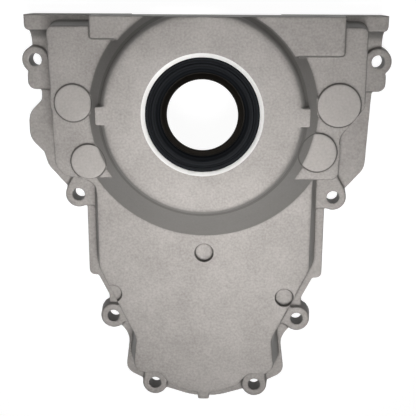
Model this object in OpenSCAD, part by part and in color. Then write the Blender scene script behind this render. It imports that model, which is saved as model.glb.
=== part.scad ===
// Engine timing cover: a die-cast front cover that lies on its gasket face, with a pressed-in crank seal.
// Plan positions are measured from the crank axis: +X to the right, +Y towards the oil pan rail.

/* [Heights above the gasket face] */
// Thickness of the bolting flange
flange_h = 10; // [7:0.5:14]
// Height of the bolt ears' seats
ear_h = 13; // [10:0.5:18]
// Height of the pan rail's outer strips and corners
rail_h = 26; // [20:0.5:30]
// Height of the lower panel over the timing chain
chain_h = 33; // [28:0.5:38]
// Height of the upper panel over the oil pump
pump_h = 48; // [44:0.5:52]
// Height of the left pan-bolt block
left_block_h = 52; // [50:0.5:55]
// Height of the right pan-bolt block
right_block_h = 55; // [52:0.5:58]
// Height of the crease where the boss's cone ends
crease_h = 57; // [54:0.5:60]
// Height of the crank boss's flat face
boss_h = 64; // [61:0.5:70]

/* [Casting] */
// Wall thickness of the panels
wall_t = 5; // [3.5:0.25:7]
// Draft of the cast walls, degrees
draft_deg = 6; // [3:0.5:8]
// Draft of the lower panel's walls, degrees
low_draft_deg = 11; // [8:0.5:12]

/* [Bolt ears] */
// Radius of an ear's seat
ear_r = 8.6; // [7.5:0.1:10]
// Widening of an ear from its seat down to the gasket face
ear_flare = 1.2; // [0.5:0.1:2]
// Radius of the bolt holes
hole_r = 4.2; // [3.5:0.1:5]
// Length of the first row's seats along the flange
ear_pad_len = 19; // [15:0.25:22]
// Reach of the first row's seats beyond the bolts' axes
ear_pad_reach = 5.5; // [4:0.1:6.5]
// Rounding of those seats' lower corners
ear_pad_round = 5; // [3:0.25:6]
// First row, beside the pan rail: half the spacing
ear_1_x = 110.2; // [106:0.1:115]
// First row: distance above the crank axis
ear_1_y = 28.1; // [24:0.1:32]
// Second row, beside the crank boss: half the spacing
ear_2_x = 84.9; // [82:0.1:88]
// Second row: distance below the crank axis
ear_2_y = 60.9; // [58:0.1:64]
// Third row, beside the chain: half the spacing
ear_3_x = 63.3; // [60:0.1:66]
// Third row: distance below the crank axis
ear_3_y = 147.1; // [143:0.1:150]
// Fourth row, at the cam end: half the spacing
ear_4_x = 34.9; // [32:0.1:37]
// Fourth row: distance below the crank axis
ear_4_y = 196.9; // [194:0.1:199]

/* [Pan rail] */
// Distance from the crank axis to the rail's face
rail_y = 57.3; // [55:0.1:62]
// Half the rail's length
rail_half = 113.5; // [111:0.5:118]
// Thickness of the rail's strips
strip_t = 4.6; // [3.5:0.1:5.5]
// Depth of the corner blocks below the rail's face
corner_t = 9.8; // [8:0.1:12]
// Reach of the scoops beyond the first row's axes
corner_out = 2.2; // [1:0.1:3]
// Radius of the scoop between a corner block and its ear
scoop_r = 11; // [9:0.25:13]
// Half the width of the mouth that drains into the pan
mouth_half = 48; // [40:0.5:52]
// Height of that mouth
mouth_h = 14; // [11:0.5:18]
// Thickness of the rail wall in front of the mouth
rail_wall_t = 8; // [6:0.25:10]
// Radius of the pan bolts' tapped holes
pan_hole_r = 3.4; // [2.5:0.1:4.2]
// Depth of the tapped holes
pan_hole_depth = 16; // [10:0.5:20]
// Height of the tapped holes' axes
pan_hole_z = 38; // [34:0.5:40]
// Left tapped hole: distance from the crank axis
pan_hole_left = 60; // [58:0.5:62]
// Right tapped hole: distance from the crank axis
pan_hole_right = 70; // [66:0.5:74]
// Radius of the bosses round the tapped holes
pan_boss_r = 8.5; // [7:0.25:10]

/* [Lower panel] */
// Half its width beside the crank boss
chain_half = 69.4; // [67:0.1:73]
// Half its width at the shoulder
shoulder_half = 69.2; // [66:0.1:71]
// Shoulder: distance below the crank axis
shoulder_y = 105.4; // [103:0.1:109]
// Half its width at the waist
waist_half = 45.2; // [43:0.1:48]
// Waist: distance below the crank axis
waist_y = 155; // [153:0.25:158]
// Half its width at the cam end
lobe_half = 48; // [46:0.1:50]
// Cam end's ledge: distance below the crank axis
lobe_y = 180.1; // [178:0.1:183]
// Lowest edge: distance below the crank axis
chain_low_y = 194; // [192:0.25:197]
// Half the length of the lowest edge
low_half = 9; // [6:0.25:12]
// Scallop round a cam-end ear: inner side, from the crank axis
scallop_x = 22.8; // [21:0.1:25]
// Scallop: its inner side's rise from the lowest edge
scallop_rise = 5.5; // [3:0.25:8]
// Scallop: start of its level side, from the crank axis
scallop_end_x = 29.6; // [28:0.1:32]
// Widening at the upper left, round the bolt ear
shoulder_flare = 12.5; // [8:0.25:14]
// Depth of that widening below the upper panel
flare_drop = 6.6; // [5:0.1:9]
// Half the width of the lug at the lowest edge
lug_half = 4; // [2.5:0.1:6]
// Length of that lug
lug_len = 5.4; // [3:0.1:8]
// Step from the panel down to that lug
lug_step = 0.4; // [0.2:0.1:2]
// Depth of the round marks in the lower panel
mark_depth = 3; // [1:0.1:3.5]
// Radius of the round marks
mark_r = 6; // [4:0.1:7]

/* [Flange edge] */
// Flange beyond the lower panel's sides
rim_side = 10.4; // [8:0.1:12]
// Length of that strip below the shoulder
rim_end = 13; // [11:0.25:15]
// Step at that strip's lower end
rim_step = 6.2; // [5:0.1:7]
// Flange beyond the waist
rim_waist = 7.2; // [6.5:0.1:9]
// Flange beyond the cam end
rim_low = 13.4; // [10:0.1:15]
// Flange beyond the cam end's sides
rim_lobe = 7.7; // [6:0.1:9]
// Drop of the flange's round ends below the cam end's ledge
lobe_drop = 8.4; // [6:0.1:10]
// Flange beyond the upper panel's sides
rim_top = 9.4; // [8:0.1:10.5]
// Reach of the left bulge beyond the flange's edge
bulge_reach = 9; // [6:0.25:12]
// Left bulge's upper end: distance below the crank axis
bulge_high_y = 7; // [5:0.25:9]
// Left bulge's lower end: distance below the crank axis
bulge_low_y = 23.6; // [20:0.25:26]
// Run of the blends at the left bulge's ends
bulge_run = 9; // [7:0.25:11]

/* [Upper panel] */
// Left edge: distance from the crank axis
pump_left = 95; // [92:0.25:98]
// Lean of the left edge towards the crank axis
pump_lean = 2.7; // [0:0.1:4]
// Right edge: distance from the crank axis
pump_right = 98.2; // [95:0.25:101]
// Right edge beneath the notch: distance from the crank axis
notch_x = 84; // [80:0.25:86]
// Upper edge: distance above the crank axis
pump_top_y = 51.2; // [49:0.1:52]
// Lower edge: distance below the crank axis
pump_low_y = 41.6; // [39:0.1:44]
// Notch: distance of its corner below the crank axis
notch_low_y = 14.5; // [12:0.25:17]
// Notch: distance of its upper end above the crank axis
notch_top_y = 3.5; // [1:0.25:6]
// Height of the round pads above the upper panel
pad_h = 1.5; // [0.8:0.1:2.5]
// Widening of the round pads at their foot
pad_flare = 0.5; // [0.2:0.1:2]
// Left pan-bolt block: outer side beyond the tapped hole
left_block_out = 8.1; // [6:0.1:10]
// Left pan-bolt block: depth below the rail's face
left_block_t = 13.3; // [11:0.25:15]
// Right pan-bolt block: outer side beyond the tapped hole
right_block_out = 13.7; // [12:0.1:16]
// Right pan-bolt block: depth below the rail's face
right_block_t = 22.6; // [20:0.1:26]
// Rounding of the blocks' outer corners
block_round = 1.5; // [1:0.1:2.5]

/* [Crank boss] */
// Radius of the boss's flat face
face_r = 56.3; // [54:0.1:57]
// Radius of the crease round the boss
crease_r = 62.8; // [61:0.1:64]
// Rounding of the boss's upper edge
face_round = 5; // [3:0.25:5.5]
// Slope of the cone below the crease, degrees from the crank axis
cone_deg = 39.5; // [37:0.5:43]
// Half the width of the side tabs over the crank axis
tab_half_w = 5.6; // [4:0.1:7]
// Distance from the crank axis to the side tabs' ends
tab_reach = 64; // [62.5:0.1:66]
// Distance of the side tabs' middle below the crank axis
tab_low = 0.7; // [0:0.1:3]

/* [Crank seal] */
// Radius of the seal's seat
seal_r = 34.15; // [32:0.05:36]
// Length of the seal
seal_len = 12.5; // [11:0.25:14]
// Depth of the seal below the boss's face
seal_recess = 0.8; // [0.4:0.1:1.5]
// Width of the turned chamfer at the seat's mouth
chamfer_w = 2.5; // [1.5:0.1:3.5]
// Wall round the seat
seat_wall = 7; // [5.5:0.25:8.5]
// Height of the shoulder that stops the seal
shoulder_t = 2; // [1.5:0.1:3]
// Reach of that shoulder under the seal
shoulder_reach = 2.2; // [1.5:0.1:3]
// Thickness of the seal's steel case
case_t = 1.2; // [0.8:0.1:1.6]
// Rubber outside the case
skin_t = 1.1; // [0.8:0.1:1.5]
// Rubber over the front of the case
front_t = 2; // [1.5:0.1:2.6]
// Inner radius of the case's front web
web_r = 27.6; // [27:0.1:29]
// Radius of the dust lip
dust_r = 25.2; // [24.5:0.1:26]
// Radius of the sealing lip
lip_r = 21.2; // [20:0.1:23]
// Length of the sealing lip's land
lip_land = 1.2; // [0.8:0.1:1.6]
// Depth of the sealing lip below the seal's front
lip_d = 0.9; // [0.4:0.1:1.4]
// Thickness of the lip element under the case
lip_t = 2.8; // [2:0.1:3.4]
// Depth of the groove in the seal's front
rib_d = 0.5; // [0.3:0.1:0.8]
// Distance of that groove from the seal's outside
rib_in = 2.2; // [1.8:0.1:3]
// Width of that groove
rib_w = 1.6; // [1.4:0.1:2]
// Depth of the dust lip below the case's web
nose_d = 0.8; // [0.5:0.1:1.2]
// Bevel of the seal's rubber edges
bevel = 0.6; // [0.3:0.05:0.8]

/* [Hidden] */
$fn = 96;
EPS = 1;
// Overlap of forms that are cast together
JOIN = 6;
// Rounding of a corner that stays sharp
SHARP = 0.5;
ARC_STEPS = 6;

cast_color = [0.70, 0.68, 0.66];
steel_color = [0.62, 0.62, 0.64];
rubber_color = [0.09, 0.09, 0.10];
lip_color = [0.22, 0.17, 0.13];

ears = [[ear_1_x, ear_1_y], [ear_2_x, -ear_2_y], [ear_3_x, -ear_3_y], [ear_4_x, -ear_4_y]];
flange_low_y = -chain_low_y - rim_low;
middle_y = (rail_y + flange_low_y) / 2;
cone_run = tan(cone_deg);
far = 2 * rail_half;
seal_top = boss_h - seal_recess;
seal_low = seal_top - seal_len;
case_r = seal_r - skin_t;

// Corners are [x, y, radius], anticlockwise seen from the front.
function mirrored(c) = [for (i = [len(c) - 1 : -1 : 0]) [-c[i].x, c[i].y, c[i][2]]];

// The flange's edge tucks under the ears, off their axes by these steps.
tuck = [3, 2.5];
flange_x = pump_right + rim_top;
bulge_x = flange_x + bulge_reach;
corner_x = ear_1_x + corner_out;
pad_low_y = ear_1_y - ear_pad_len;
seat_r = 0.9 * ear_r;

flange_side = [
    [low_half, flange_low_y, 40],
    [ear_4_x, -ear_4_y - tuck.y, SHARP],
    [lobe_half + rim_lobe, -lobe_y - lobe_drop, 8],
    [waist_half + rim_waist, -waist_y - wall_t - tuck.y, 14],
    [ear_3_x + tuck.x, -ear_3_y + tuck.y, SHARP],
    [ear_3_x + tuck.x, -ear_3_y + ear_r + JOIN, 4],
    [shoulder_half + rim_side - rim_step, -shoulder_y - rim_end, SHARP],
    [shoulder_half + rim_side, -shoulder_y - rim_end, 4],
    [chain_half + rim_side, -ear_2_y - wall_t, SHARP],
    [ear_2_x + tuck.x, -ear_2_y, SHARP],
    [flange_x - tuck.y, -pump_low_y, 12]
];
flange_neck = [
    [flange_x, pad_low_y + tuck.x, SHARP],
    [corner_x, pad_low_y + 2 * tuck.x, SHARP],
    [corner_x, rail_y, SHARP]
];
bulge = [
    [-flange_x, bulge_run - bulge_high_y, 4],
    [-bulge_x, -bulge_high_y, 11],
    [-bulge_x, -bulge_low_y, 11],
    [-flange_x, -bulge_low_y - bulge_run, 5]
];
flange_corners = concat(flange_side, flange_neck, mirrored(flange_neck), bulge, mirrored(flange_side));

chain_side = [
    [low_half, -chain_low_y, 25],
    [scallop_x, -chain_low_y + scallop_rise, 8],
    [scallop_end_x, -lobe_y, 6],
    [lobe_half, -lobe_y, 7.5],
    [waist_half, -waist_y, 14],
    [shoulder_half, -shoulder_y, 14]
];
chain_top_y = -pump_low_y + 2 * JOIN;
flare_x = chain_half + shoulder_flare;
chain_top = [
    [chain_half, chain_top_y, SHARP],
    [-flare_x, chain_top_y, SHARP],
    [-flare_x, -pump_low_y - flare_drop / 2, SHARP],
    [-chain_half, -pump_low_y - flare_drop, 9]
];
chain_corners = concat(chain_side, chain_top, mirrored(chain_side));

pump_corners = [
    [-pump_left + pump_lean, -pump_low_y, 11],
    [notch_x, -pump_low_y, 5],
    [notch_x, -notch_low_y, 8],
    [pump_right, notch_top_y, 8],
    [pump_right, pump_top_y, 4],
    [-pump_left, pump_top_y, 4]
];

// Round pads on the upper panel: [x, y, radius]
pads = [[-79.7, 4.9, 11.5], [-71.1, -31.4, 11], [82.3, 4.7, 13.2], [70.1, -24.3, 12]];
// Round marks in the lower panel
marks = [[0.1, -94.5], [53.3, -124.8], [-60.5, -123.8]];

function unit(v) = v / norm(v);
function left_of(u) = [-u.y, u.x];
function at(c, i) = c[(i + len(c)) % len(c)];
function flat(p) = [p.x, p.y];
function edge(c, i) = unit(flat(at(c, i + 1)) - flat(at(c, i)));
function turned(v, a) = [v.x * cos(a) - v.y * sin(a), v.x * sin(a) + v.y * cos(a)];

// One corner moved inwards by d and rounded, as ARC_STEPS + 1 points
function corner_arc(c, i, d) =
    let (before = edge(c, i - 1), after = edge(c, i))
    let (n0 = left_of(before), n1 = left_of(after))
    let (vertex = flat(at(c, i)) + d * (n0 + n1) / (1 + n0 * n1))
    let (side = cross(before, after) >= 0 ? 1 : -1)
    let (r = max(at(c, i)[2] - side * d, 0.2))
    let (turn = acos(max(-1, min(1, before * after))))
    let (start = vertex - before * r * tan(turn / 2))
    let (centre = start + side * r * n0)
    [for (k = [0 : ARC_STEPS]) centre + turned(start - centre, side * turn * k / ARC_STEPS)];

function outline(c, d = 0) = [for (i = [0 : len(c) - 1]) each corner_arc(c, i, d)];

// Corners of a flat outline are cut off one by one, as triangles that hold no other point.
function spread(a, b, c) = cross(b - a, c - a);
function holds(q, a, b, c) = spread(a, b, q) >= 0 && spread(b, c, q) >= 0 && spread(c, a, q) >= 0;
function free_corner(p, ids, k) =
    let (i = at(ids, k - 1), j = at(ids, k), l = at(ids, k + 1))
    spread(p[i], p[j], p[l]) > 0
        && len([for (m = ids) if (m != i && m != j && m != l && holds(p[m], p[i], p[j], p[l])) m]) == 0;
function next_free(p, ids, k = 0) =
    k == len(ids) - 1 || free_corner(p, ids, k) ? k : next_free(p, ids, k + 1);
function triangles(p, ids) = len(ids) == 3 ? [ids] :
    let (k = next_free(p, ids))
    concat(
        [[at(ids, k - 1), at(ids, k), at(ids, k + 1)]],
        triangles(p, [for (m = [0 : len(ids) - 1]) if (m != k) ids[m]])
    );

// One outline moved inwards and raised, from low to high [inset, z], closed at both ends
module loft(c, low, high) {
    low_ring = outline(c, low[0]);
    high_ring = outline(c, high[0]);
    n = len(low_ring);
    ids = [for (i = [0 : n - 1]) i];
    points = concat(
        [for (q = low_ring) [q.x, q.y, low[1]]],
        [for (q = high_ring) [q.x, q.y, high[1]]]
    );
    sides = [for (i = ids) let (j = (i + 1) % n) each [[i, n + i, n + j], [i, n + j, j]]];
    tops = [for (t = triangles(high_ring, ids)) [n + t[2], n + t[1], n + t[0]]];
    polyhedron(points, concat(triangles(low_ring, ids), sides, tops));
}

// Inset of a drafted wall that reaches its nominal outline at the height top
function drafted(z, top, deg) = -(top - z) * tan(deg);

// A cast panel: drafted wall from inside the flange up to a flat top
module panel(c, base, top, deg = draft_deg) {
    loft(c, [drafted(base, top, deg), base], [0, top]);
}

// The hollow behind a panel, open at the gasket face
module hollow(c, top, deg = draft_deg) {
    roof = top - wall_t;
    loft(c, [wall_t + drafted(-EPS, top, deg), -EPS], [wall_t + drafted(roof, top, deg), roof]);
}

module both_sides() {
    children();
    mirror([1, 0, 0]) children();
}

module flange() {
    linear_extrude(flange_h) polygon(outline(flange_corners));
}

// Lug at the lower panel's lowest edge
module low_lug() {
    translate([-lug_half, -chain_low_y - lug_len, 0])
        cube([2 * lug_half, lug_len + JOIN, chain_h - lug_step]);
}

module ear(p) {
    translate([p.x, p.y, 0]) cylinder(h = ear_h, r1 = ear_r + ear_flare, r2 = ear_r);
}

// Seat level at an ear, run in to the panel's wall
module ear_seat(corners) {
    linear_extrude(ear_h) polygon(outline([for (c = corners) [c.x, c.y, SHARP]]));
}

// Seats of the first row, below the ears
module ear_pad() {
    reach = ear_1_x + ear_pad_reach;
    in_x = pump_right - JOIN;
    linear_extrude(ear_h) polygon(outline([
        [in_x, pad_low_y, SHARP],
        [reach, pad_low_y, ear_pad_round],
        [reach, ear_1_y - ear_r, 3],
        [ear_1_x, ear_1_y, SHARP],
        [in_x, ear_1_y, SHARP]
    ]));
}

// Seats of the second, third and fourth rows
module ear_webs() {
    ear_seat([
        [chain_half - JOIN, -ear_2_y - seat_r],
        [ear_2_x, -ear_2_y - seat_r],
        [ear_2_x + seat_r, -ear_2_y + wall_t],
        [ear_2_x + tuck.x, -pump_low_y - JOIN],
        [ear_2_x, -pump_low_y + JOIN],
        [chain_half - JOIN, -pump_low_y + JOIN]
    ]);
    ear_seat([
        [waist_half, -waist_y + JOIN],
        [ear_3_x - wall_t, -waist_y + tuck.y],
        [ear_3_x, -ear_3_y],
        [ear_3_x - tuck.x, -ear_3_y + seat_r],
        [ear_3_x - seat_r, -ear_3_y + seat_r + tuck.x],
        [waist_half, -ear_3_y + seat_r + tuck.x]
    ]);
    ear_seat([
        [ear_4_x - seat_r, -ear_4_y],
        [ear_4_x + seat_r, -ear_4_y],
        [ear_4_x + seat_r, -lobe_y + tuck.x],
        [ear_4_x - seat_r, -lobe_y + tuck.x]
    ]);
}

// Rail strip, corner block and the scoop that runs down to the ear
module rail_end() {
    block_low = rail_y - corner_t;
    scoop_z = flange_h + scoop_r;
    in_x = pump_right - JOIN;
    linear_extrude(rail_h) polygon(outline([
        [in_x, block_low, SHARP],
        [rail_half, block_low, 3],
        [rail_half, rail_y, SHARP],
        [-EPS, rail_y, SHARP],
        [-EPS, rail_y - strip_t, SHARP],
        [in_x, rail_y - strip_t, SHARP]
    ]));
    difference() {
        translate([in_x, block_low - scoop_r, 0]) cube([corner_x - in_x, scoop_r + EPS, scoop_z]);
        translate([in_x - EPS, block_low - scoop_r, scoop_z])
            rotate([0, 90, 0]) cylinder(h = corner_x - in_x + 2 * EPS, r = scoop_r);
    }
}

// Block over a pan bolt, from its outer edge to the boss
module bolt_block(outer, low, top) {
    panel([
        [0, low, SHARP],
        [outer, low, block_round],
        [outer, rail_y + JOIN, block_round],
        [0, rail_y + JOIN, SHARP]
    ], rail_h - JOIN, top);
}

function cone_r(z) = crease_r + (crease_h - z) * cone_run;

// The crank boss: face, rounded edge, crease and cone
module boss() {
    base = chain_h - EPS;
    rotate_extrude() polygon(concat(
        [[0, base], [cone_r(base), base], [crease_r, crease_h]],
        [for (a = [0 : 18 : 90])
            [face_r + face_round * cos(a), boss_h - face_round + face_round * sin(a)]],
        [[0, boss_h]]
    ));
}

module side_tab() {
    translate([0, -tab_low, 0]) linear_extrude(boss_h) polygon(outline([
        [0, -tab_half_w, SHARP],
        [tab_reach, -tab_half_w, 2 * SHARP],
        [tab_reach, tab_half_w, SHARP],
        [0, tab_half_w, SHARP]
    ]));
}

module round_pad(p) {
    translate([p.x, p.y, flange_h])
        cylinder(h = pump_h + pad_h - flange_h, r1 = p[2] + pad_flare, r2 = p[2]);
}

module outside() {
    intersection() {
        union() {
            flange();
            low_lug();
            panel(chain_corners, flange_h / 2 + EPS, chain_h, low_draft_deg);
            panel(pump_corners, flange_h / 2, pump_h);
            boss();
            both_sides() rail_end();
            both_sides() side_tab();
            mirror([1, 0, 0])
                bolt_block(pan_hole_left + left_block_out, rail_y - left_block_t, left_block_h);
            bolt_block(pan_hole_right + right_block_out, rail_y - right_block_t, right_block_h);
            for (p = pads) round_pad(p);
        }
        translate([-far, rail_y - 2 * far, 0]) cube([2 * far, 2 * far, boss_h + EPS]);
    }
    both_sides() for (p = ears) ear(p);
    both_sides() ear_pad();
    both_sides() ear_webs();
}

// Hollow of the boss between its cone and the wall round the seal's seat
module boss_hollow() {
    roof = boss_h - wall_t - EPS;
    skin = wall_t / cos(cone_deg);
    low_r = cone_r(chain_h - wall_t) - skin;
    crown_r = cone_r(crease_h) - skin;
    intersection() {
        rotate_extrude() polygon([
            [seal_r + seat_wall, roof],
            [seal_r + seat_wall, seal_low - shoulder_t],
            [0, seal_low - shoulder_t],
            [0, -EPS],
            [low_r, -EPS],
            [low_r, chain_h - wall_t],
            [crown_r, crease_h],
            [crown_r - 2 * EPS, roof]
        ]);
        translate([-far, rail_y - rail_wall_t - 2 * far, -EPS]) cube([2 * far, 2 * far, boss_h]);
    }
}

module pan_boss(x) {
    depth = pan_hole_depth + wall_t / 2;
    translate([x, rail_y - depth, pan_hole_z]) rotate([-90, 0, 0])
        cylinder(h = depth - EPS, r = pan_boss_r);
}

module pan_hole(x) {
    translate([x, rail_y - pan_hole_depth, pan_hole_z]) rotate([-90, 0, 0])
        cylinder(h = pan_hole_depth + EPS, r = pan_hole_r);
}

module inside() {
    difference() {
        union() {
            hollow(chain_corners, chain_h, low_draft_deg);
            hollow(pump_corners, pump_h);
            boss_hollow();
        }
        pan_boss(-pan_hole_left);
        pan_boss(pan_hole_right);
    }
    translate([-mouth_half, 0, -EPS]) cube([2 * mouth_half, rail_y + EPS, mouth_h + EPS]);
}

module seal_seat() {
    translate([0, 0, seal_low]) cylinder(h = seal_len + seal_recess + EPS, r = seal_r);
    translate([0, 0, seal_low - shoulder_t - EPS])
        cylinder(h = shoulder_t + 2 * EPS, r = seal_r - shoulder_reach);
    translate([0, 0, seal_top])
        cylinder(h = 2 * seal_recess, r1 = seal_r, r2 = seal_r + 2 * chamfer_w);
}

module bolt_hole(p) {
    translate([p.x, p.y, -EPS]) cylinder(h = ear_h + 2 * EPS, r = hole_r);
}

module cover() {
    color(cast_color) translate([0, -middle_y, 0]) difference() {
        outside();
        inside();
        seal_seat();
        both_sides() for (p = ears) bolt_hole(p);
        pan_hole(-pan_hole_left);
        pan_hole(pan_hole_right);
        for (m = marks)
            translate([m.x, m.y, chain_h - mark_depth]) cylinder(h = mark_depth + EPS, r = mark_r);
    }
}

// Levels of the seal, from its front face inwards
web_top = seal_top - front_t;
web_low = web_top - case_t;
nose_low = web_low - nose_d;
lip_low = web_low - lip_t;

// Pressed steel case: a cylinder with a front web
module seal_case() {
    color(steel_color) translate([0, -middle_y, 0]) rotate_extrude() polygon([
        [case_r - case_t, seal_low + skin_t],
        [case_r, seal_low + skin_t],
        [case_r, web_top],
        [web_r, web_top],
        [web_r, web_low],
        [case_r - case_t, web_low]
    ]);
}

// Moulded rubber: outer skin, grooved front and dust lip
module seal_rubber() {
    groove_r = seal_r - rib_in;
    color(rubber_color) translate([0, -middle_y, 0]) rotate_extrude() polygon([
        [case_r - case_t, seal_low],
        [seal_r - bevel, seal_low],
        [seal_r, seal_low + bevel],
        [seal_r, seal_top - bevel],
        [seal_r - bevel, seal_top],
        [groove_r, seal_top],
        [groove_r - rib_d, seal_top - rib_d],
        [groove_r - rib_w + rib_d, seal_top - rib_d],
        [groove_r - rib_w, seal_top],
        [web_r + bevel, seal_top],
        [web_r - bevel, seal_top - front_t / 2],
        [dust_r, nose_low + 2 * bevel],
        [dust_r, nose_low + bevel],
        [dust_r + bevel, nose_low],
        [web_r, nose_low],
        [web_r, web_top],
        [case_r, web_top],
        [case_r, seal_low + skin_t],
        [case_r - case_t, seal_low + skin_t]
    ]);
}

// Lip element: a washer under the case's web, drawn forwards to the sealing lip
module seal_lip() {
    foot_r = dust_r - bevel;
    lip_top = seal_top - lip_d;
    land_top = lip_top - bevel;
    color(lip_color) translate([0, -middle_y, 0]) rotate_extrude() polygon([
        [case_r - case_t, lip_low],
        [case_r - case_t, web_low],
        [web_r, web_low],
        [web_r, nose_low],
        [foot_r, nose_low],
        [lip_r + bevel, lip_top],
        [lip_r, land_top],
        [lip_r, land_top - lip_land],
        [foot_r, lip_low]
    ]);
}

cover();
seal_case();
seal_rubber();
seal_lip();
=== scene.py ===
"""Dresses the timing cover: a softened casting with its cut faces, and the pressed-in crank seal."""

import logging
import math
from dataclasses import dataclass, field
from enum import Enum
from functools import reduce
from typing import Any

import bpy
import numpy as np
from mathutils import Euler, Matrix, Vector
from numpy.typing import NDArray


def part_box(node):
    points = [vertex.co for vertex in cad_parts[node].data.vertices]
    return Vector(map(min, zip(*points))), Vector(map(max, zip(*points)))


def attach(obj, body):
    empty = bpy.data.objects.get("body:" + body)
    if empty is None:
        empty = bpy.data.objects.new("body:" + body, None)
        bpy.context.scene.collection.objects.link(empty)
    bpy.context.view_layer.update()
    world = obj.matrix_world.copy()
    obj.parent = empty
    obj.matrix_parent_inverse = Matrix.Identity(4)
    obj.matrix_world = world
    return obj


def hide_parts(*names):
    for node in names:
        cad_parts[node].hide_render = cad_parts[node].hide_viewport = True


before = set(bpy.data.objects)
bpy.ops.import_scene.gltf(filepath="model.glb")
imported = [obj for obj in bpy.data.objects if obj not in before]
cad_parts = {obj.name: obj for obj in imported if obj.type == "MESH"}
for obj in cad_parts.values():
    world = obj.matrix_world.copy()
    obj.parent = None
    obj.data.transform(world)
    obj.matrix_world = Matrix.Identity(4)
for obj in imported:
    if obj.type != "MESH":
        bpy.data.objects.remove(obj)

Array = NDArray[np.float64]
Indices = NDArray[np.int64]
Choice = NDArray[np.bool_]
Colour = tuple[float, float, float]
Point = tuple[float, float, float]
Span = tuple[float, float]
Socket = bpy.types.NodeSocket
Sockets = dict[str | int, Any]

MM = 0.001
WHITE = (1.0, 1.0, 1.0, 1.0)
LOG = logging.getLogger("timing_cover")

# Places of a colour Mix node's sockets
MIX_SHARE, MIX_FIRST, MIX_SECOND, MIX_COLOUR = 0, 6, 7, 2

# Radians by which a Wave texture turns over one unit of scaled distance
WAVE_TURN = 20.0


class Sum(Enum):
    """The steps of arithmetic that the materials use."""

    ADD = "ADD"
    TIMES = "MULTIPLY"
    MORE = "GREATER_THAN"
    LESS = "LESS_THAN"
    NEAR = "COMPARE"
    MOST = "MAXIMUM"


@dataclass(frozen=True)
class Bolt:
    """One bolt ear: its axis from the crank axis, in millimetres."""

    x: float
    y: float


@dataclass(frozen=True)
class Disc:
    """A round pad or mark on a panel: axis from the crank axis and radius, in millimetres."""

    x: float
    y: float
    radius: float


@dataclass(frozen=True)
class Belt:
    """A band of heights above the gasket face, in millimetres."""

    low: float
    high: float

    def holds(self, height: Array) -> Choice:
        """Says which heights lie in the band."""
        return (height > self.low) & (height < self.high)


@dataclass(frozen=True)
class CastFinish:
    """Matt die-cast aluminium, rubbed pads, cut faces; painted shade on walls, in corners and rings."""

    name: str = "cast_aluminium"
    light: Colour = (0.514, 0.484, 0.462)
    dark: Colour = (0.331, 0.309, 0.292)
    # Painted shade: the steep walls and the cone are darkened towards this colour.
    drafted: Colour = (0.225, 0.219, 0.209)
    drafted_share: float = 0.8
    rubbed: Colour = (0.545, 0.514, 0.490)
    rubbed_share: float = 0.4
    # Painted shade: inner corners and the rings round pads, marks and crease are darkened towards this
    # colour.
    painted_shade: Colour = (0.075, 0.070, 0.064)
    cut: Colour = (0.92, 0.91, 0.89)
    metallic: float = 0.1
    specular: float = 0.1
    edge_tint: Colour = (0.2, 0.2, 0.2)
    roughness: float = 0.45
    # Reach, samples, occlusion span and strength of the painted shade in the inner corners.
    corner_shade_reach: float = 2.0
    corner_shade_samples: int = 8
    corner_shade_span: Span = (0.56, 0.9)
    corner_shade_share: float = 0.95
    # Strength and widths of the painted shade rings round the pads, the marks and the crease.
    shade_line_share: float = 0.6
    shade_ring_w: float = 0.38
    crease_shade_w: float = 1.1
    crease_shade_share: float = 0.6
    patch_scale: float = 34.0
    patch_detail: float = 6.0
    patch_roughness: float = 0.78
    patch_share: float = 0.5
    speck_scale: float = 750.0
    speck_detail: float = 4.0
    speck_share: float = 0.5
    tone_span: Span = (0.33, 0.67)
    grain_scale: float = 1500.0
    grain_detail: float = 3.0
    grain_strength: float = 0.5
    grain_height: float = 0.00006


@dataclass(frozen=True)
class RubberFinish:
    """Moulded black rubber with fine rings."""

    name: str = "seal_rubber"
    colour: Colour = (0.0095, 0.0110, 0.0135)
    groove: Colour = (0.0020, 0.0025, 0.0035)
    specular: float = 0.08
    roughness: float = 0.55
    ring_pitch: float = 1.7
    ring_strength: float = 0.4
    ring_height: float = 0.00007


@dataclass(frozen=True)
class LipFinish:
    """Dark brown lip element."""

    name: str = "seal_lip"
    colour: Colour = (0.012, 0.010, 0.008)
    specular: float = 0.1
    roughness: float = 0.55


@dataclass(frozen=True)
class SteelFinish:
    """Pressed steel of the seal's case."""

    name: str = "seal_case"
    colour: Colour = (0.55, 0.55, 0.57)
    metallic: float = 1.0
    roughness: float = 0.35


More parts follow.
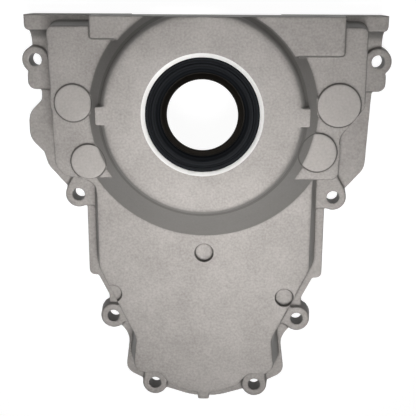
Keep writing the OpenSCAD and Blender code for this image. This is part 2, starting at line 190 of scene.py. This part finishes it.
class Graph:
    """A node graph, with short ways to add nodes and join them."""

    def __init__(self, owner: bpy.types.Material | bpy.types.World) -> None:
        """Empties the graph of a new material or world.

        Args:
            owner: The material or the world.
        """
        owner.use_nodes = True
        self.owner = owner
        self.tree = owner.node_tree
        self.tree.nodes.clear()

    @classmethod
    def of_material(cls, name: str) -> "Graph":
        """Starts the graph of a new material."""
        return cls(bpy.data.materials.new(name))

    def add(self, kind: str, sockets: Sockets | None = None, **settings: Any) -> bpy.types.Node:
        """Adds a node and fills its sockets.

        Args:
            kind: The node's type without its ShaderNode prefix.
            sockets: A value, or an output socket to join, for each input socket.
            settings: Properties of the node itself.

        Returns:
            The new node.
        """
        node = self.tree.nodes.new(f"ShaderNode{kind}")
        for key, value in settings.items():
            setattr(node, key, value)
        for key, value in (sockets or {}).items():
            if isinstance(value, bpy.types.NodeSocket):
                self.tree.links.new(value, node.inputs[key])
            else:
                node.inputs[key].default_value = value
        return node

    def maths(self, step: Sum, a: Any, b: Any, slack: float = 0.0) -> Socket:
        """Adds one step of arithmetic, with a slack for NEAR, and returns its output."""
        return self.add("Math", {0: a, 1: b, 2: slack}, operation=step.value).outputs[0]

    def most(self, marks: list[Socket]) -> Socket:
        """Joins marks by their largest value."""
        return reduce(lambda a, b: self.maths(Sum.MOST, a, b), marks)

    def blend(self, share: Any, first: Any, second: Any) -> Socket:
        """Mixes two colours.

        Args:
            share: The second colour's share, from 0 to 1.
            first: The first colour, or a socket that gives it.
            second: The second colour, or a socket that gives it.

        Returns:
            The mixed colour.
        """
        a, b = (v if isinstance(v, bpy.types.NodeSocket) else (*v, 1.0) for v in (first, second))
        mix = self.add("Mix", {MIX_SHARE: share, MIX_FIRST: a, MIX_SECOND: b}, data_type="RGBA")
        return mix.outputs[MIX_COLOUR]

    def finish(self, shader: Socket, output: str = "OutputMaterial") -> Any:
        """Joins a shader to the output and returns the material or the world."""
        self.add(output, {"Surface": shader})
        return self.owner

    def principled(self, sockets: Sockets) -> bpy.types.Material:
        """Ends a material with one principled shader."""
        return self.finish(self.add("BsdfPrincipled", sockets).outputs[0])


@dataclass
class CrankFrame:
    """The crank axis in the part's frame, and turns from it."""

    x: float = 0.0
    y: float = 0.0

    @classmethod
    def from_seal(cls) -> "CrankFrame":
        """Finds the crank axis in the middle of the seal's lip."""
        low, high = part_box("seal_lip")
        return cls((low.x + high.x) / 2, (low.y + high.y) / 2)

    def place(self, x: float, y: float, z: float) -> Vector:
        """Turns millimetres from the crank axis into a point of the part's frame."""
        return Vector((self.x + x * MM, self.y + y * MM, z * MM))

    def shift(self) -> Array:
        """Gives the crank axis's foot on the gasket face."""
        return np.array((self.x, self.y, 0.0))


@dataclass(frozen=True)
class SoftEdges:
    """How far the casting's fillets and roundings go, and where its edges stay crisp, in millimetres."""

    fillet_rounds: int = 6
    edge_rounds: int = 14
    pace: float = 0.55
    gasket_skin: float = 1.5
    rail_skin: float = 1.2
    hole_skin: float = 1.6
    seat_reach: float = 38.0
    seat_low: float = 44.0
    pad_skin: float = 2.6
    pad_low: float = 46.0
    mark_skin: float = 1.2
    mark_low: float = 28.0
    foot_r: float = 82.0
    foot_reach: float = 6.0
    foot: Belt = Belt(31.0, 37.0)
    crease_r: float = 62.8
    crease_reach: float = 2.0
    crease_low: float = 54.0
    lower_edge: Belt = Belt(28.0, 34.0)
    lower_top_y: float = -48.0
    upper_edge: Belt = Belt(42.0, 48.6)
    upper_side_x: float = 75.0
    upper_low_y: float = -30.0
    crisp_share: float = 0.05
    rolled_share: float = 1.0
    plain_share: float = 0.15


@dataclass
class Casting:
    """The die-cast cover, softened at its edges and filled at the feet of its walls, in millimetres."""

    crank: CrankFrame
    weld_gap: float = 0.002
    voxel: float = 0.62
    triangles: int = 190000
    sharp_deg: float = 38.0
    face_z: float = 64.0
    face_r: float = 50.0
    seat_r: float = 34.15
    seat_z: float = 50.7
    seal_top: float = 63.2
    chamfer_w: float = 2.5
    turned_r: float = 48.0
    turned_in: float = 1.0
    turned_up: float = 0.8
    turned_reach: float = 1.2
    cut_below_seat: float = 0.5
    gasket_cut: float = 0.2
    hole_r: float = 4.2
    hole_reach: float = 0.7
    ear_z: float = 13.0
    ear_over: float = 1.0
    rail_y: float = 57.3
    bolts: tuple[Bolt, ...] = (
        Bolt(110.2, 28.1),
        Bolt(84.9, -60.9),
        Bolt(63.3, -147.1),
        Bolt(34.9, -196.9),
    )
    pad_z: float = 49.5
    pad_slack: float = 0.5
    pads: tuple[Disc, ...] = (
        Disc(-79.7, 4.9, 11.5),
        Disc(-71.1, -31.4, 11.0),
        Disc(82.3, 4.7, 13.2),
        Disc(70.1, -24.3, 12.0),
    )
    marks: tuple[Disc, ...] = (Disc(0.1, -94.5, 6.0), Disc(53.3, -124.8, 6.0), Disc(-60.5, -123.8, 6.0))
    front_low: float = 29.0
    # Where the painted shade line runs round the boss's crease.
    crease: Disc = Disc(0.0, 0.0, 62.4)
    crease_belt: Belt = Belt(55.5, 63.2)
    # Face attribute that holds each face's share of the painted wall shade.
    wall_shade_mark: str = "drafted"
    wall_rise: Span = (0.93, 0.75)
    soft: SoftEdges = field(default_factory=SoftEdges)
    finish: CastFinish = field(default_factory=CastFinish)

    def build(self) -> bpy.types.Object:
        """Builds the softened cover in the place of its solid.

        Returns:
            The cover's object.
        """
        points, faces = self._voxels()
        points = self._soften(points, faces)
        points = self._turn_seat(points)
        points = self._drill(points)
        mesh = self._thin(points, faces)
        self._mark_wall_shade(mesh)
        cover = bpy.data.objects.new("cover_casting", mesh)
        bpy.context.scene.collection.objects.link(cover)
        cover.data.materials.append(self.material())
        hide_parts("cover")
        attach(cover, "root")
        return cover

    def _voxels(self) -> tuple[Array, Indices]:
        """Copies the solid, merges it and covers it with an even net of four-sided faces.

        Returns:
            The net's points from the crank axis, and its faces.
        """
        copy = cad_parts["cover"].copy()
        copy.data = copy.data.copy()
        bpy.context.scene.collection.objects.link(copy)
        weld = copy.modifiers.new("merge", "WELD")
        weld.merge_threshold = self.weld_gap * MM
        net = copy.modifiers.new("net", "REMESH")
        net.mode = "VOXEL"
        net.voxel_size = self.voxel * MM
        graph = bpy.context.evaluated_depsgraph_get()
        mesh = bpy.data.meshes.new_from_object(copy.evaluated_get(graph))
        flat = np.empty(3 * len(mesh.vertices))
        mesh.vertices.foreach_get("co", flat)
        corners = np.empty(len(mesh.loops), np.int64)
        mesh.loops.foreach_get("vertex_index", corners)
        points = flat.reshape(-1, 3) / MM - self.crank.shift() / MM
        bpy.data.objects.remove(copy)
        bpy.data.meshes.remove(mesh)
        return points, corners.reshape(-1, 4)

    @staticmethod
    def _normals(points: Array, faces: Indices) -> Array:
        """Averages the faces' normals, each the cross product of its diagonals, at every point.

        Args:
            points: The net's points.
            faces: The net's faces.

        Returns:
            A unit normal for each point.
        """
        a, b, c, d = (points[faces[:, k]] for k in range(4))
        normal = np.cross(c - a, d - b)
        count = len(points)
        sums = [np.bincount(faces.ravel(), np.repeat(normal[:, k], 4), count) for k in range(3)]
        total = np.stack(sums, axis=1)
        return total / np.maximum(np.linalg.norm(total, axis=1, keepdims=True), 1e-12)

    def _soften(self, points: Array, faces: Indices) -> Array:
        """Fills the feet of the walls and rounds the outer edges.

        Each round moves a point along its normal by a share of its distance from the middle of its
        neighbours: only outwards, in hollows, to make fillets, and then only inwards, on edges, to make
        roundings.

        Args:
            points: The net's points.
            faces: The net's faces.

        Returns:
            The moved points.
        """
        here = faces.ravel()
        there = np.roll(faces, -1, axis=1).ravel()
        count = len(points)
        degree = np.bincount(here, minlength=count)
        feet, edges = self._soft_weights(points)
        for step in range(self.soft.fillet_rounds + self.soft.edge_rounds):
            normal = self._normals(points, faces)
            middle = np.stack([np.bincount(here, points[there, k], count) for k in range(3)], axis=1)
            height = np.einsum("ij,ij->i", middle / degree[:, None] - points, normal)
            filling = step < self.soft.fillet_rounds
            share = np.maximum(height, 0.0) * feet if filling else np.minimum(height, 0.0) * edges
            points = points + normal * (self.soft.pace * share)[:, None]
        return points

    def _soft_weights(self, points: Array) -> tuple[Array, Array]:
        """Says how far the fillets and the roundings act at each point.

        Args:
            points: The net's points before they move.

        Returns:
            The weights of the fillets and of the roundings, from 0 to 1.
        """
        s = self.soft
        x, y, z = points.T
        radius = np.hypot(x, y)
        kept = (z < s.gasket_skin) | (y > self.rail_y - s.rail_skin)
        kept |= (radius < s.seat_reach) & (z > s.seat_low)
        for bolt in self.bolts:
            kept |= np.hypot(np.abs(x) - bolt.x, y - bolt.y) < self.hole_r + s.hole_skin
        crisp = np.zeros(len(points), bool)
        for disc in self.pads:
            rim = np.abs(np.hypot(x - disc.x, y - disc.y) - disc.radius)
            crisp |= (rim < s.pad_skin) & (z > s.pad_low)
        for disc in self.marks:
            crisp |= (np.hypot(x - disc.x, y - disc.y) < disc.radius + s.mark_skin) & (z > s.mark_low)
        foot = (np.abs(radius - s.foot_r) < s.foot_reach) & s.foot.holds(z)
        crease = (np.abs(radius - s.crease_r) < s.crease_reach) & (z > s.crease_low)
        rolled = s.lower_edge.holds(z) & (y < s.lower_top_y)
        rolled |= s.upper_edge.holds(z) & ((np.abs(x) > s.upper_side_x) | (y < s.upper_low_y))
        free = (~kept).astype(float)
        feet = np.where(crisp | foot | crease, 0.0, 1.0)
        edges = np.where(crisp, s.crisp_share, np.where(rolled, s.rolled_share, s.plain_share))
        return free * feet, free * edges

    def _turn_seat(self, points: Array) -> Array:
        """Moves the points of the seal's seat, its chamfer and the boss's face onto the turned profile.

        Args:
            points: The net's points.

        Returns:
            The points, with those near the profile moved to the nearest place on it.
        """
        profile = np.array(
            (
                (self.seat_r, self.seat_z),
                (self.seat_r, self.seal_top),
                (self.seat_r + self.chamfer_w, self.face_z),
                (self.face_r, self.face_z),
            )
        )
        radius = np.hypot(points[:, 0], points[:, 1])
        near = (radius > self.seat_r - self.turned_in) & (radius < self.turned_r)
        near &= points[:, 2] > self.seat_z + self.turned_up
        flat = np.stack((radius[near], points[near, 2]), axis=1)
        best, gap = flat.copy(), np.full(len(flat), self.turned_reach)
        for start, end in zip(profile[:-1], profile[1:]):
            run = end - start
            share = np.clip((flat - start) @ run / (run @ run), 0.0, 1.0)
            spot = start + share[:, None] * run
            reach = np.linalg.norm(spot - flat, axis=1)
            best = np.where((reach < gap)[:, None], spot, best)
            gap = np.minimum(gap, reach)
        moved = points.copy()
        moved[near, :2] *= (best[:, 0] / flat[:, 0])[:, None]
        moved[near, 2] = best[:, 1]
        return moved

    def _drill(self, points: Array) -> Array:
        """Moves the points of the bolt holes' walls onto round cylinders.

        Args:
            points: The net's points.

        Returns:
            The points with round holes.
        """
        moved = points.copy()
        for bolt in self.bolts:
            for side in (-1.0, 1.0):
                off = moved[:, :2] - np.array((side * bolt.x, bolt.y))
                reach = np.linalg.norm(off, axis=1)
                wall = np.abs(reach - self.hole_r) < self.hole_reach * self.voxel
                wall &= moved[:, 2] < self.ear_z + self.ear_over
                moved[wall, :2] += off[wall] * (self.hole_r / reach[wall] - 1.0)[:, None]
        return moved

    def _thin(self, points: Array, faces: Indices) -> bpy.types.Mesh:
        """Thins the net on the flat faces and shades it smooth, with sharp edges past an angle.

        Args:
            points: The net's points.
            faces: The net's faces.

        Returns:
            The finished mesh in the part's frame.
        """
        net = bpy.data.meshes.new("net")
        net.from_pydata((points * MM + self.crank.shift()).tolist(), [], faces.tolist())
        holder = bpy.data.objects.new("net", net)
        bpy.context.scene.collection.objects.link(holder)
        thin = holder.modifiers.new("thin", "DECIMATE")
        thin.ratio = min(1.0, self.triangles / (2 * len(faces)))
        graph = bpy.context.evaluated_depsgraph_get()
        mesh = bpy.data.meshes.new_from_object(holder.evaluated_get(graph))
        mesh.name = "cover_casting"
        mesh.shade_smooth()
        mesh.set_sharp_from_angle(angle=math.radians(self.sharp_deg))
        bpy.data.objects.remove(holder)
        bpy.data.meshes.remove(net)
        return mesh

    def _mark_wall_shade(self, mesh: bpy.types.Mesh) -> None:
        """Marks the steep walls and the cone for painted shade, more the steeper they are, face by face.

        Args:
            mesh: The finished mesh.
        """
        normal = np.empty(3 * len(mesh.polygons))
        mesh.polygons.foreach_get("normal", normal)
        level, steep = self.wall_rise
        share = np.clip((level - np.abs(normal[2::3])) / (level - steep), 0.0, 1.0)
        mesh.attributes.new(self.wall_shade_mark, "FLOAT", "FACE").data.foreach_set("value", share)

    def material(self) -> bpy.types.Material:
        """Makes the cast skin, rubbed pads, cut faces, fine grain, and painted shade on walls, corners
        and rings.

        Returns:
            The material.
        """
        f = self.finish
        g = Graph.of_material(f.name)
        spot = g.add("TexCoord").outputs["Object"]
        wall = g.add("Attribute", attribute_name=self.wall_shade_mark).outputs["Fac"]
        # Painted shade: steep walls and the cone are darkened by their face share.
        wall_shaded = g.blend(g.maths(Sum.TIMES, wall, f.drafted_share), self._skin(g, spot), f.drafted)
        tops = g.maths(Sum.TIMES, self._pad_tops(g, spot), f.rubbed_share)
        worn = g.blend(tops, wall_shaded, f.rubbed)
        # Painted shade: dark corners and thin dark rings, blended towards the shade colour.
        shade_lines = g.maths(Sum.TIMES, self._rings(g, spot), f.shade_line_share)
        with_painted_shade = g.blend(g.most([self._corner_shade(g), shade_lines]), worn, f.painted_shade)
        grain = g.add("TexNoise", {"Vector": spot, "Scale": f.grain_scale, "Detail": f.grain_detail})
        bump = {"Height": grain.outputs[0], "Strength": f.grain_strength, "Distance": f.grain_height}
        return g.principled(
            {
                "Base Color": g.blend(self._cut_faces(g, spot), with_painted_shade, f.cut),
                "Metallic": f.metallic,
                "Specular IOR Level": f.specular,
                "Specular Tint": (*f.edge_tint, 1.0),
                "Roughness": f.roughness,
                "Normal": g.add("Bump", bump).outputs[0],
            }
        )

    def _skin(self, g: Graph, spot: Socket) -> Socket:
        """Mixes broad patches and fine specks of noise into the tone of the cast skin.

        Args:
            g: The material's graph.
            spot: The point on the part.

        Returns:
            The skin's colour.
        """
        f = self.finish
        patch = {
            "Vector": spot,
            "Scale": f.patch_scale,
            "Detail": f.patch_detail,
            "Roughness": f.patch_roughness,
        }
        speck = {"Vector": spot, "Scale": f.speck_scale, "Detail": f.speck_detail}
        broad = g.maths(Sum.TIMES, g.add("TexNoise", patch).outputs[0], f.patch_share)
        fine = g.maths(Sum.TIMES, g.add("TexNoise", speck).outputs[0], f.speck_share)
        low, high = f.tone_span
        spread = {"Value": g.maths(Sum.ADD, broad, fine), "From Min": low, "From Max": high}
        return g.blend(g.add("MapRange", spread).outputs[0], f.dark, f.light)

    def _corner_shade(self, g: Graph) -> Socket:
        """Marks painted shade in the inner corners, by how far the casting shuts them in.

        Args:
            g: The material's graph.

        Returns:
            The painted shade's share, from 0 in the open.
        """
        f = self.finish
        near = {"Distance": f.corner_shade_reach * MM}
        # Ambient occlusion turned into painted shade in the corners.
        nook = g.add("AmbientOcclusion", near, samples=f.corner_shade_samples, only_local=True).outputs["AO"]
        shut, bare = f.corner_shade_span
        fall = {"Value": nook, "From Min": shut, "From Max": bare, "To Min": f.corner_shade_share, "To Max": 0.0}
        return g.add("MapRange", fall).outputs[0]

    @staticmethod
    def _plan(g: Graph, spot: Socket) -> tuple[Socket, Socket]:
        """Splits a point on the part into its place in plan and its height."""
        flat = g.add("VectorMath", {0: spot, 1: (1.0, 1.0, 0.0)}, operation="MULTIPLY").outputs[0]
        return flat, g.add("SeparateXYZ", {0: spot}).outputs[2]

    def _reach(self, g: Graph, flat: Socket, x: float = 0.0, y: float = 0.0) -> Socket:
        """Measures the distance in plan from an axis, by default the crank axis."""
        axis = self.crank.place(x, y, 0.0)
        return g.add("VectorMath", {0: flat, 1: axis}, operation="DISTANCE").outputs["Value"]

    def _ring(self, g: Graph, flat: Socket, disc: Disc, width: float) -> Socket:
        """Marks the edge of a disc by a ring that reaches the given width to either side."""
        reach = self._reach(g, flat, disc.x, disc.y)
        return g.maths(Sum.NEAR, reach, disc.radius * MM, width * MM)

    def _rings(self, g: Graph, spot: Socket) -> Socket:
        """Marks thin lines of painted shade round the pads, the round marks and the boss's crease.

        Args:
            g: The material's graph.
            spot: The point on the part.

        Returns:
            1 on the lines, less on the crease, and 0 elsewhere.
        """
        f = self.finish
        flat, height = self._plan(g, spot)
        over = g.maths(Sum.MORE, height, self.crease_belt.low * MM)
        under = g.maths(Sum.LESS, height, self.crease_belt.high * MM)
        shade = g.maths(Sum.TIMES, g.maths(Sum.TIMES, over, under), f.crease_shade_share)
        front = g.maths(Sum.MORE, height, self.front_low * MM)
        # Painted shade rings at the crease and round each pad and mark.
        shade_lines = [g.maths(Sum.TIMES, self._ring(g, flat, self.crease, f.crease_shade_w), shade)]
        for disc in self.pads + self.marks:
            shade_lines.append(g.maths(Sum.TIMES, self._ring(g, flat, disc, f.shade_ring_w), front))
        return g.most(shade_lines)

    def _pad_tops(self, g: Graph, spot: Socket) -> Socket:
        """Marks the flat tops of the pads, which are rubbed paler than the skin round them.

        Args:
            g: The material's graph.
            spot: The point on the part.

        Returns:
            1 on the tops and 0 elsewhere.
        """
        flat, height = self._plan(g, spot)
        level = g.maths(Sum.NEAR, height, self.pad_z * MM, self.pad_slack * MM)
        tops = []
        for pad in self.pads:
            tops.append(g.maths(Sum.LESS, self._reach(g, flat, pad.x, pad.y), pad.radius * MM))
        return g.maths(Sum.TIMES, g.most(tops), level)

    def _cut_faces(self, g: Graph, spot: Socket) -> Socket:
        """Marks the turned and milled faces by their place: the gasket face and the seal's seat.

        Args:
            g: The material's graph.
            spot: The point on the part.

        Returns:
            1 on the cut faces and 0 on the cast skin.
        """
        flat, height = self._plan(g, spot)
        ring = g.maths(Sum.LESS, self._reach(g, flat), (self.seat_r + self.chamfer_w) * MM)
        high = g.maths(Sum.MORE, height, (self.seat_z - self.cut_below_seat) * MM)
        gasket = g.maths(Sum.LESS, height, self.gasket_cut * MM)
        return g.most([g.maths(Sum.TIMES, ring, high), gasket])


@dataclass
class CrankSeal:
    """The pressed-in crank seal: its case, its rubber and its lip element keep their solids' forms."""

    crank: CrankFrame
    rubber: RubberFinish = field(default_factory=RubberFinish)
    lip: LipFinish = field(default_factory=LipFinish)
    steel: SteelFinish = field(default_factory=SteelFinish)

    def dress(self) -> list[bpy.types.Object]:
        """Gives the seal's three solids their finishes.

        Returns:
            The dressed objects.
        """
        skins = {"seal_rubber": self._rubber(), "seal_lip": self._lip(), "seal_case": self._steel()}
        dressed = []
        for name, skin in skins.items():
            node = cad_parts[name]
            node.data.materials.clear()
            node.data.materials.append(skin)
            dressed.append(node)
        return dressed

    def _rings(self, g: Graph) -> Socket:
        """Adds fine rings round the crank axis: the sine of the distance from it.

        Args:
            g: The material's graph.

        Returns:
            The rings' height, from 0 to 1.
        """
        spot = g.add("TexCoord").outputs["Object"]
        shift = {"Vector": spot, "Location": (-self.crank.x, -self.crank.y, 0.0)}
        centred = g.add("Mapping", shift, vector_type="POINT").outputs[0]
        scale = 2 * math.pi / (WAVE_TURN * self.rubber.ring_pitch * MM)
        wave = {"Vector": centred, "Scale": scale, "Distortion": 0.0}
        return g.add("TexWave", wave, wave_type="RINGS", rings_direction="Z").outputs["Fac"]

    def _rubber(self) -> bpy.types.Material:
        """Makes the black rubber with its fine moulded rings.

        Returns:
            The material.
        """
        f = self.rubber
        g = Graph.of_material(f.name)
        rings = self._rings(g)
        bump = {"Height": rings, "Strength": f.ring_strength, "Distance": f.ring_height}
        return g.principled(
            {
                "Base Color": g.blend(rings, f.groove, f.colour),
                "Specular IOR Level": f.specular,
                "Roughness": f.roughness,
                "Normal": g.add("Bump", bump).outputs[0],
            }
        )

    def _lip(self) -> bpy.types.Material:
        """Makes the dark brown lip element.

        Returns:
            The material.
        """
        f = self.lip
        plain = {
            "Base Color": (*f.colour, 1.0),
            "Specular IOR Level": f.specular,
            "Roughness": f.roughness,
        }
        return Graph.of_material(f.name).principled(plain)

    def _steel(self) -> bpy.types.Material:
        """Makes the pressed steel of the case.

        Returns:
            The material.
        """
        f = self.steel
        plain = {"Base Color": (*f.colour, 1.0), "Metallic": f.metallic, "Roughness": f.roughness}
        return Graph.of_material(f.name).principled(plain)


@dataclass(frozen=True)
class Lamp:
    """One soft lamp: place and aim from the crank axis in millimetres, size, power, spread in degrees."""

    name: str
    place: Point
    aim: Point
    size: float
    power: float
    spread: float = 180.0


@dataclass
class Studio:
    """The pale floor, the soft light and the camera of the picture."""

    crank: CrankFrame
    lens: float = 74.71
    sensor: float = 36.0
    near: float = 0.01
    eye: Point = (20.84, 72.48, 572.84)
    turn: Point = (-14.186, 1.994, 0.248)
    floor_half: float = 3.0
    floor_drop: float = 0.0003
    floor_dim: Colour = (0.08, 0.08, 0.08)
    floor_pale: Colour = (0.2, 0.2, 0.2)
    floor_glow: float = 0.95
    fill: float = 0.10
    lamps: tuple[Lamp, ...] = (
        Lamp("key", (120.0, -425.0, 632.0), (-12.0, -44.0, 64.0), 0.16, 0.132, 41.5),
        Lamp("soft_box", (30.0, -150.0, 700.0), (-12.0, -64.0, 50.0), 0.16, 0.066, 35.0),
        Lamp("overhead", (0.0, 100.0, 900.0), (0.0, -40.0, 30.0), 0.5, 0.82),
    )

    def build(self) -> None:
        """Sets the floor, the world, the lamps and the camera."""
        self._floor()
        self._world()
        for lamp in self.lamps:
            self._lamp(lamp)
        self._camera()
        bpy.context.scene.view_settings.view_transform = "Standard"

    @staticmethod
    def _seen(g: Graph) -> Socket:
        """Adds a factor that is 1 for camera, glossy and transmission rays and 0 for the rest."""
        rays = g.add("LightPath").outputs
        return g.most([rays["Is Camera Ray"], rays["Is Glossy Ray"], rays["Is Transmission Ray"]])

    def _floor(self) -> None:
        """Lays the pale floor under the part, white to the camera and keeping the part's shadow."""
        h = self.floor_half
        mesh = bpy.data.meshes.new("floor")
        mesh.from_pydata([(-h, -h, 0.0), (h, -h, 0.0), (h, h, 0.0), (-h, h, 0.0)], [], [(0, 1, 2, 3)])
        floor = bpy.data.objects.new("floor", mesh)
        floor.location.z = -self.floor_drop
        bpy.context.scene.collection.objects.link(floor)
        g = Graph.of_material("floor_white")
        seen = self._seen(g)
        paint = g.add("BsdfDiffuse", {"Color": g.blend(seen, self.floor_dim, self.floor_pale)})
        strength = g.maths(Sum.TIMES, seen, self.floor_glow)
        glow = g.add("Emission", {"Color": WHITE, "Strength": strength})
        both = g.add("AddShader", {0: paint.outputs[0], 1: glow.outputs[0]})
        floor.data.materials.append(g.finish(both.outputs[0]))

    def _world(self) -> None:
        """Makes the world white where it is seen and a dim grey where it lights the part."""
        g = Graph(bpy.data.worlds.new("studio"))
        strength = g.add("MapRange", {"Value": self._seen(g), "To Min": self.fill})
        back = g.add("Background", {"Color": WHITE, "Strength": strength.outputs[0]})
        bpy.context.scene.world = g.finish(back.outputs[0], "OutputWorld")

    def _lamp(self, lamp: Lamp) -> None:
        """Hangs one soft lamp, turned to its aim.

        Args:
            lamp: The lamp's place, aim, size, power and spread.
        """
        data = bpy.data.lights.new(lamp.name, "AREA")
        data.shape = "DISK"
        data.size = lamp.size
        data.energy = lamp.power
        data.spread = math.radians(lamp.spread)
        holder = bpy.data.objects.new(lamp.name, data)
        holder.location = self.crank.place(*lamp.place)
        beam = self.crank.place(*lamp.aim) - holder.location
        holder.rotation_euler = beam.to_track_quat("-Z", "Y").to_euler()
        bpy.context.scene.collection.objects.link(holder)

    def _camera(self) -> None:
        """Sets the camera that was fitted to the photograph."""
        data = bpy.data.cameras.new("camera")
        data.lens = self.lens
        data.sensor_width = self.sensor
        data.clip_start = self.near
        camera = bpy.data.objects.new("camera", data)
        camera.location = self.crank.place(*self.eye)
        camera.rotation_euler = Euler([math.radians(a) for a in self.turn], "XYZ")
        bpy.context.scene.collection.objects.link(camera)
        bpy.context.scene.camera = camera


def main() -> None:
    """Builds the cover, dresses the seal and sets the studio."""
    logging.basicConfig(level=logging.INFO, format="%(name)s: %(message)s")
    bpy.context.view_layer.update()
    crank = CrankFrame.from_seal()
    cover = Casting(crank).build()
    LOG.info("%s: %d faces", cover.name, len(cover.data.polygons))
    for piece in CrankSeal(crank).dress():
        LOG.info("%s: dressed", piece.name)
    Studio(crank).build()


if __name__ == "__main__":
    main()
